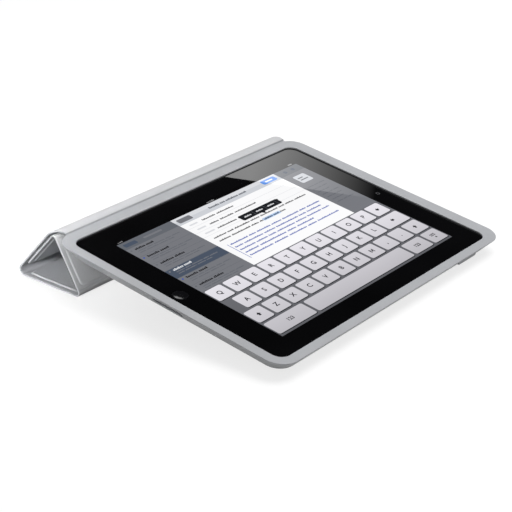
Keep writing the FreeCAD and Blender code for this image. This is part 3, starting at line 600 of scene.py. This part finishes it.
# greeked writing: upright ticks of two heights, with word gaps
ticks = {"gap": 0.35, "pitch": 0.76, "fill": 0.78, "short": 0.74}


def addWords(left, right, top, tall, words, level, name):
    unit = (right - left) / (sum(words) + ticks["gap"] * (len(words) - 1))
    spot, foot = left, top - tall
    for word in words:
        count = max(2, round(word * unit / (ticks["pitch"] * tall)))
        pitch = word * unit / count
        for place in range(count):
            low = spot + place * pitch
            high = low + ticks["fill"] * pitch
            head = foot + tall * (1.0 if (3 * place + 2 * count) % 7 < 2 else ticks["short"])
            addLayer([(low, foot), (high, foot), (high, head), (low, head)], level, name)
        spot += (word + ticks["gap"]) * unit


# ground of the picture: dark strip with small marks, grey panels and key tray
darkStrip = {"marks": 4, "first": -96.0, "pitch": 1.3, "wide": 0.7, "foot": 2.9, "head": 2.3, "climb": 0.25}


def layGround(strip):
    addBar(-halfLong, -halfShort, halfLong, halfShort, 0, "stripBlack", 0.2)
    addBar(-halfLong, trayTop, halfLong, stripLow, 1, "sideGrey", 0.1)
    addBar(-halfLong, -halfShort, halfLong, trayTop, 1, "trayGrey", 0.1)
    for place in range(strip["marks"]):
        left = strip["first"] + place * strip["pitch"]
        head = halfShort - strip["head"] + place * strip["climb"]
        addBar(left, halfShort - strip["foot"], left + strip["wide"], head, 1, "stripMark", 0.1)
    addWords(-4.0, 4.0, halfShort - 1.5, 1.4, (2, 3), 1, "stripMark")
    addBar(91.0, halfShort - 2.7, 95.5, halfShort - 1.4, 1, "stripMark", 0.3)


layGround(darkStrip)
print("screen ground laid")


# grey panels either side of the open sheet
sidePanels = {"left": (-98.55, -45.0), "right": (70.5, 98.55), "bar": 8.6, "rowPitch": 11.6, "rows": 6, "picked": 3}


def laySidePanels(panels):
    left, right = panels["left"]
    addBar(left, stripLow - panels["bar"], right - 0.4, stripLow, 2, "sideBar", 0.1)
    addBar(left + 3, stripLow - 6.3, left + 15, stripLow - 2.4, 3, "sideDark", 1.0)
    addBar(left + 22, stripLow - 5.2, left + 40, stripLow - 3.4, 3, "sideGrey", 0.4)
    for row in range(panels["rows"]):
        top = stripLow - 9.2 - row * panels["rowPitch"]
        foot = top - panels["rowPitch"]
        picked = row == panels["picked"]
        if picked:
            addBar(left, foot + 0.4, right - 0.4, top - 0.2, 2, "sideDark", 0.1)
        ink = "sideGrey" if picked else "sideBar"
        addWords(left + 6, left + 24 + 3 * (row % 3), top - 1.2, 2.1, (4, 3), 3, "markLight" if picked else "inkGrey")
        addWords(left + 6, right - 6, top - 4.6, 1.1, (3, 2, 4, 2, 3), 3, ink)
        addWords(left + 6, right - 14, top - 6.8, 1.1, (2, 4, 3, 2), 3, ink)
        addBar(left + 1.8, top - 3.0, left + 3.4, top - 1.5, 3, "inkBlue" if row in (1, 4) else ink, 0.7)
        addBar(left, foot, right - 0.4, foot + 0.25, 3, "sideBar", 0.1)
    left, right = panels["right"]
    addBar(left + 0.4, stripLow - panels["bar"], right, stripLow, 2, "sideBar", 0.1)
    for place in range(2):
        addBar(left + 8 + 9 * place, stripLow - 5.8, left + 11.4 + 9 * place, stripLow - 2.6, 3, "sideDark", 1.2)
    addBar(left + 7, stripLow - 24, left + 20, stripLow - 13, 2, "titleGrey", 1.4)
    addBar(left + 9, stripLow - 20.5, left + 18, stripLow - 19.3, 3, "sideBar", 0.5)
    addBar(left + 9, stripLow - 17.6, left + 15, stripLow - 16.4, 3, "sideBar", 0.5)
    for row in range(7):
        addWords(left + 4, right - 4 - 3 * (row % 3), stripLow - 30 - row * 4.6, 1.2, (3, 2, 3), 2, "sideBar")


# white sheet with a title bar, ruled heads, lines of greeked writing and a pop-up bar
openSheet = {
    "left": -45.0, "right": 70.5, "bar": 9.4, "margin": 6.0, "headPitch": 7.2, "line": 5.0, "tall": 1.65,
    "heads": ((3, 4), (2, 3, 5), (4, 2, 3, 3)), "first": (4, 2, 5, 3, 6, 2, 3, 4), "second": (3, 5, 2, 4, 3),
    "picked": (3, 2), "quotePitch": 4.5, "quoteTall": 1.55,
    "quote": ((5, 2, 4, 3, 5, 2, 4), (2, 5, 3, 6, 2, 4), (4, 3, 2, 5, 3, 4, 2), (3, 6, 2, 4), (5, 3, 4, 2, 5)),
}


def layOpenSheet(sheet):
    left, right, tall = sheet["left"], sheet["right"], sheet["tall"]
    addBar(left, trayTop, right, stripLow, 2, "sheetWhite", 0.1)
    addBar(left, stripLow - sheet["bar"], right, stripLow, 3, "titleGrey", 0.1)
    addBar(left, stripLow - sheet["bar"] * 0.45, right, stripLow, 4, "ruleGrey", 0.1)
    addBar(left + 3, stripLow - 7.2, left + 17, stripLow - 2.2, 5, "sideGrey", 1.2)
    addBar(right - 19, stripLow - 7.4, right - 3, stripLow - 2.0, 5, "blueKey", 1.3)
    addBar(right - 15, stripLow - 5.4, right - 7, stripLow - 4.0, 6, "sheetWhite", 0.5)
    addWords(left + 36, right - 38, stripLow - 3.6, 2.2, (4, 2, 5, 3), 5, "sideBar")
    low, high = left + sheet["margin"], right - sheet["margin"]
    top = stripLow - sheet["bar"] - 3.0
    for row, words in enumerate(sheet["heads"]):
        addBar(low, top - tall, low + 8 + row, top, 3, "ruleGrey", 0.4)
        addWords(low + 13, low + 13 + 17 * len(words), top, tall, words, 3, "inkGrey")
        addBar(left, top - 4.4, right, top - 4.1, 3, "ruleGrey", 0.1)
        top -= sheet["headPitch"]
    top -= 0.8
    second = top - sheet["line"]
    addWords(low, high, top, tall, sheet["first"], 3, "inkGrey")
    addWords(low, high - 30, second, tall, sheet["second"], 3, "inkGrey")
    addBar(low + 48, second - 2.4, low + 67, second + 0.7, 4, "paleBlue", 0.2)
    addWords(low + 49, low + 66, second, tall, sheet["picked"], 5, "inkGrey")
    addBar(low + 36, top + 1.6, low + 80, top + 8.6, 7, "popDark", 1.4)
    addLayer([(low + 55.4, top + 1.8), (low + 57.4, top - 0.9), (low + 59.4, top + 1.8)], 6.5, "popDark")
    for place in range(3):
        along = low + 13 * place
        addWords(along + 40, along + 47.5, top + 5.9, 1.6, (1,), 8, "markLight")
        addBar(along + 50.3, top + 1.9, along + 50.55, top + 8.3, 8, "sideBar", 0.1)
    top -= 2.6 * sheet["line"]
    addBar(low, top - 21.5, low + 0.5, top + 0.6, 3, "inkBlue", 0.1)
    for row, words in enumerate(sheet["quote"]):
        reach = high - (24 if row == 3 else 4 * (row % 2))
        addWords(low + 2.4, reach, top - row * sheet["quotePitch"], sheet["quoteTall"], words, 3, "inkBlue")


laySidePanels(sidePanels)
layOpenSheet(openSheet)


# key rows: letters in their usual order, with wider keys at the ends
keyboard = {
    "topGap": 0.95, "pitch": 17.82, "rowPitch": 16.55, "key": (15.5, 14.2), "corner": 1.5, "edge": 0.9, "gap": 2.4,
    "shade": 0.8, "level": 3, "rows": (("QWERTYUIOP", 0.0), ("ASDFGHJKL", 8.0), ("ZXCVBNM,.", 17.82)),
    "bottomSplits": (1.75, 8.1, 9.45),
}
keyPitch, keyGap = keyboard["pitch"], keyboard["gap"]
keyLong, keyTall = keyboard["key"]
firstKey = -halfLong + keyboard["edge"] + keyLong / 2
lastEdge = halfLong - keyboard["edge"]


def rowMiddle(row):
    return trayTop - keyboard["topGap"] - keyTall / 2 - row * keyboard["rowPitch"]


letterSpots = {}
for row, (letters, inset) in enumerate(keyboard["rows"]):
    for place, letter in enumerate(letters):
        letterSpots[letter] = (firstKey + inset + place * keyPitch, rowMiddle(row))
shiftSpot = (firstKey, rowMiddle(2))
eraseSpot = (firstKey + len(keyboard["rows"][0][0]) * keyPitch, rowMiddle(0))
keyCentres = [*letterSpots.values(), shiftSpot, eraseSpot]
wideKeys = [(firstKey + inset + (len(letters) - 0.5) * keyPitch + keyGap / 2, lastEdge, row)
            for row, (letters, inset) in enumerate(keyboard["rows"]) if row > 0]
splits = [firstKey + share * keyPitch for share in keyboard["bottomSplits"]]
lefts = [firstKey - keyLong / 2, *[split + keyGap for split in splits]]
wideKeys += [(left, right, 3) for left, right in zip(lefts, [*splits, lastEdge])]


# one rounded key repeated on every letter place
def keyTree():
    tree = bpy.data.node_groups.new("keysOnPlaces", "GeometryNodeTree")
    face = tree.interface
    face.new_socket("Geometry", in_out="INPUT", socket_type="NodeSocketGeometry")
    for name in ("Key width", "Key depth", "Corner", "Thickness"):
        face.new_socket(name, in_out="INPUT", socket_type="NodeSocketFloat")
    face.new_socket("Finish", in_out="INPUT", socket_type="NodeSocketMaterial")
    face.new_socket("Geometry", in_out="OUTPUT", socket_type="NodeSocketGeometry")
    entry, leave = tree.nodes.new("NodeGroupInput"), tree.nodes.new("NodeGroupOutput")
    outline = tree.nodes.new("GeometryNodeCurvePrimitiveQuadrilateral")
    fillet = addNode(tree, "GeometryNodeFilletCurve", mode="POLY", Count=3)
    fill = addNode(tree, "GeometryNodeFillCurve", mode="NGONS")
    raised = tree.nodes.new("GeometryNodeExtrudeMesh")
    turned = tree.nodes.new("GeometryNodeFlipFaces")
    joined = tree.nodes.new("GeometryNodeJoinGeometry")
    welded = tree.nodes.new("GeometryNodeMergeByDistance")
    spread = tree.nodes.new("GeometryNodeInstanceOnPoints")
    real = tree.nodes.new("GeometryNodeRealizeInstances")
    painted = tree.nodes.new("GeometryNodeSetMaterial")
    for source, given, target, taken in (
        (entry, "Key width", outline, "Width"), (entry, "Key depth", outline, "Height"),
        (outline, "Curve", fillet, "Curve"), (entry, "Corner", fillet, "Radius"),
        (fillet, "Curve", fill, "Curve"), (fill, "Mesh", raised, "Mesh"),
        (entry, "Thickness", raised, "Offset Scale"), (fill, "Mesh", turned, "Mesh"),
        (turned, "Mesh", joined, "Geometry"), (raised, "Mesh", joined, "Geometry"),
        (joined, "Geometry", welded, "Geometry"), (entry, "Geometry", spread, "Points"),
        (welded, "Geometry", spread, "Instance"), (spread, "Instances", real, "Geometry"),
        (real, "Geometry", painted, "Geometry"), (entry, "Finish", painted, "Material"),
        (painted, "Geometry", leave, "Geometry"),
    ):
        tree.links.new(source.outputs[given], target.inputs[taken])
    return tree


def evaluated(thing):
    bpy.context.view_layer.update()
    graph = bpy.context.evaluated_depsgraph_get()
    return bpy.data.meshes.new_from_object(thing.evaluated_get(graph))


def letterKeys(tree, centres, level):
    points = bpy.data.meshes.new("keyPlaces")
    points.from_pydata([(u, v, screen["lift"] + level * screen["layer"]) for u, v in centres], [], [])
    holder = addObject("keyPlaces", points)
    modifier = holder.modifiers.new("keys", "NODES")
    modifier.node_group = tree
    wanted = {"Key width": keyLong, "Key depth": keyTall, "Corner": keyboard["corner"],
              "Thickness": screen["layer"] * screen["keyFill"], "Finish": litMaterials["keyPale"]}
    for item in tree.interface.items_tree:
        if item.in_out == "INPUT" and item.name in wanted:
            modifier[item.identifier] = wanted[item.name]
    mesh = evaluated(holder)
    bpy.data.objects.remove(holder)
    mesh.transform(screenFrame @ Matrix.Scale(mm, 4))
    piece = addObject("screenKeys", mesh)
    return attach(piece, "case_and_tablet")


def addShade(left, right, v):
    addBar(left, v - keyTall / 2 - keyboard["shade"], right, v, 2, "popDark", keyboard["corner"])


letterKeys(keyTree(), keyCentres, keyboard["level"])
wideLevel = keyboard["level"] + screen["keyFill"]
for left, right, row in wideKeys:
    v = rowMiddle(row)
    addBar(left, v - keyTall / 2, right, v + keyTall / 2, wideLevel, "keyPale", keyboard["corner"])
for u, v in keyCentres:
    addShade(u - keyLong / 2, u + keyLong / 2, v)
for left, right, row in wideKeys:
    addShade(left, right, rowMiddle(row))
print("keys laid")


# legends: letters and digits from the font, the rest drawn
legend = {"level": 4.8, "letter": 5.6, "digits": 4.4, "bold": 0.11, "arrow": 2.0, "smallArrow": 1.1}
blockM = {"half": 2.0, "rise": 1.95, "stroke": 0.72, "shoulder": 0.25, "notch": -0.35, "point": -1.5}


def addArrow(u, v, reach, turned):
    stem, foot = reach * 0.45, -reach * 0.8
    head = [(0, reach), (reach, 0), (stem, 0), (stem, foot), (-stem, foot), (-stem, 0), (-reach, 0)]
    cos, sin = math.cos(turned), math.sin(turned)
    outline = [(u + x * cos - y * sin, v + x * sin + y * cos) for x, y in reversed(head)]
    addLayer(outline, legend["level"], "keyInk")


def addBlockM(u, v, block):
    # the thickened font closes up its M, so that one is drawn
    half, rise, inner = block["half"], block["rise"], block["half"] - block["stroke"]
    side = [(inner, block["shoulder"]), (inner, -rise), (half, -rise), (half, rise), (inner, rise)]
    mirrored = [(-x, y) for x, y in reversed(side)]
    outline = [*side, (0, block["notch"]), *mirrored, (0, block["point"])]
    addLayer([(u + x, v + y) for x, y in outline], legend["level"], "keyInk")


def addHideMark(u, v):
    # a small keyboard over an arrow
    for row in range(2):
        for place in range(3):
            left, low = u - 2.7 + 1.9 * place, v + 0.2 + 1.5 * row
            addBar(left, low, left + 1.4, low + 1.0, legend["level"], "keyInk", 0.2)
    addArrow(u, v - 1.9, legend["smallArrow"], math.pi)


def keyMiddle(key):
    return (key[0] + key[1]) / 2, rowMiddle(key[2])


def keyLegends(marks):
    letter = bpy.data.curves.new("keyLegend", "FONT")
    letter.align_x, letter.align_y = "CENTER", "CENTER"
    letter.extrude = screen["layer"] * screen["legendFill"]
    letter.resolution_u = 3
    letter.offset = legend["bold"]
    holder = addObject("keyLegend", letter)
    height = screen["lift"] + legend["level"] * screen["layer"]
    joined = bmesh.new()
    for text, (u, v) in marks:
        letter.body = text
        letter.size = legend["letter"] if len(text) == 1 else legend["digits"]
        mesh = evaluated(holder)
        mesh.transform(screenFrame @ Matrix.Scale(mm, 4) @ Matrix.Translation((u, v, height)))
        joined.from_mesh(mesh)
        bpy.data.meshes.remove(mesh)
    bpy.data.objects.remove(holder)
    mesh = bpy.data.meshes.new("keyLegends")
    joined.to_mesh(mesh)
    joined.free()
    mesh.materials.append(litMaterials["keyInk"])
    piece = addObject("keyLegends", mesh)
    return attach(piece, "case_and_tablet")


# the space bar, fourth of the wide keys, stays blank
returnKey, rightShift, leftDigits, _, rightDigits, hideKey = [keyMiddle(key) for key in wideKeys]
addBlockM(*letterSpots.pop("M"), blockM)
addArrow(*shiftSpot, legend["arrow"], 0.0)
addArrow(*rightShift, legend["arrow"], 0.0)
addArrow(*eraseSpot, legend["arrow"], math.pi / 2)
addArrow(*returnKey, legend["arrow"], math.pi / 2)
addHideMark(*hideKey)
keyLegends([*letterSpots.items(), ("123", leftDigits), ("123", rightDigits)])
image = makePiece("screenImage", layers["points"], layers["faces"], list(litMaterials.values()), layers["picks"],
                  False)
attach(image, "case_and_tablet")
print("screen lit")


# studio: pale floor, a soft light overhead, a gridded lamp on the stand's open end, a card that shines in the glass
studio = {
    "floor": 0.29, "floorGlow": 0.755, "floorReach": 3.0, "ambient": 0.34, "ceiling": (3.2, 1.4),
    "cardEdge": (894.2, 747.6, 549.7), "cardRun": (0.5597, -0.8287), "cardSpan": (-80.0, 330.0),
    "cardDrop": 220.0, "cardLean": 0.4685, "cardSlant": 0.716, "cardFade": (0.3, 0.78), "cardGlow": 2.2,
}
lamps = {
    "top": {"power": 36.0, "reach": 1.5, "place": (0.55, -0.35, 2.1), "aim": (0.0, 0.0, 0.02), "spread": 180.0},
    "end": {"power": 0.066, "reach": 0.1, "place": (-0.95, -0.03, 0.31), "aim": (-0.12, 0.115, 0.0), "spread": 12.0},
}


def seenDirectly(tree):
    path = addNode(tree, "ShaderNodeLightPath")
    first = addNode(tree, "ShaderNodeMath", operation="MAXIMUM")
    both = addNode(tree, "ShaderNodeMath", operation="MAXIMUM")
    tree.links.new(path.outputs["Is Camera Ray"], first.inputs[0])
    tree.links.new(path.outputs["Is Glossy Ray"], first.inputs[1])
    tree.links.new(first.outputs["Value"], both.inputs[0])
    tree.links.new(path.outputs["Is Transmission Ray"], both.inputs[1])
    return both.outputs["Value"]


def addBoard(name, points, material):
    return makePiece(name, points, [(0, 1, 2, 3)], [material], None, False)


def addWorld(settings):
    world = bpy.data.worlds.new("studioWorld")
    scene.world = world
    world.use_nodes = True
    tree = world.node_tree
    ground = tree.nodes["Background"]
    setInputs(ground, {"Color": (1, 1, 1, 1)})
    # soft light all round, and plain white where it is seen or mirrored
    level = addNode(tree, "ShaderNodeMix", A=settings["ambient"], B=1.0)
    tree.links.new(seenDirectly(tree), level.inputs["Factor"])
    tree.links.new(level.outputs["Result"], ground.inputs["Strength"])


def addCeiling(settings):
    # dark board overhead, so the glass mirrors black as it did in the room
    reach, height = settings["ceiling"]
    points = [Vector((x * reach, y * reach, height)) for x, y in ((-1, -1), (-1, 1), (1, 1), (1, -1))]
    material, _, shader = newMaterial("darkCeiling")
    setInputs(shader, {"Base Color": (0, 0, 0, 1), "Roughness": 1.0, "Specular IOR Level": 0.0})
    board = addBoard("darkCeiling", points, material)
    board.visible_camera = False
    board.visible_diffuse = False
    board.visible_shadow = False


def addFloor(settings):
    reach = settings["floorReach"]
    points = [Vector((x * reach, y * reach, 0)) for x, y in ((-1, -1), (1, -1), (1, 1), (-1, 1))]
    material, tree, shader = newMaterial("paleFloor")
    setInputs(shader, {"Base Color": (*[settings["floor"]] * 3, 1), "Roughness": 0.9, "Specular IOR Level": 0.0,
                       "Emission Color": (1, 1, 1, 1)})
    glow = addNode(tree, "ShaderNodeMath", operation="MULTIPLY")
    glow.inputs[1].default_value = settings["floorGlow"]
    tree.links.new(seenDirectly(tree), glow.inputs[0])
    tree.links.new(glow.outputs["Value"], shader.inputs["Emission Strength"])
    addBoard("paleFloor", points, material)


def addSoftLight(name, settings):
    lamp = bpy.data.lights.new(name, "AREA")
    lamp.energy = settings["power"]
    lamp.size = settings["reach"]
    lamp.spread = math.radians(settings["spread"])
    light = addObject(name, lamp)
    light.location = settings["place"]
    light.rotation_mode = "QUATERNION"
    ahead = Vector(settings["aim"]) - Vector(settings["place"])
    light.rotation_quaternion = ahead.to_track_quat("-Z", "Y")
    light.visible_glossy = False


def addShineCard(settings):
    low, high = settings["cardSpan"]
    edge, run, drop = settings["cardEdge"], settings["cardRun"], settings["cardDrop"]
    lean, slant = settings["cardLean"], settings["cardSlant"]
    points = []
    for along, down in ((low, 0), (high, 0), (high, drop), (low, drop)):
        points.append(onTablet(edge[0] + run[0] * along + lean * down,
                               edge[1] + run[1] * along + slant * lean * down, edge[2] - down))
    material, tree, shader = newMaterial("shineCard")
    tree.nodes.remove(shader)
    glow = addNode(tree, "ShaderNodeEmission")
    along = oneAxis(tree, addNode(tree, "ShaderNodeTexCoord").outputs["UV"], "X")
    fade = rescaled(tree, along, *settings["cardFade"], settings["cardGlow"], 0.0)
    tree.links.new(fade, glow.inputs["Strength"])
    tree.links.new(glow.outputs["Emission"], tree.nodes["Material Output"].inputs["Surface"])
    card = addBoard("shineCard", points, material)
    uv = card.data.uv_layers.new(name="UVMap")
    for loop, spot in zip(uv.data, ((0, 0), (1, 0), (1, 1), (0, 1))):
        loop.uv = spot
    card.visible_diffuse = False
    card.visible_shadow = False


addWorld(studio)
addCeiling(studio)
addFloor(studio)
for lampName, lampSettings in lamps.items():
    addSoftLight(f"{lampName}Light", lampSettings)
addShineCard(studio)
print("studio set")
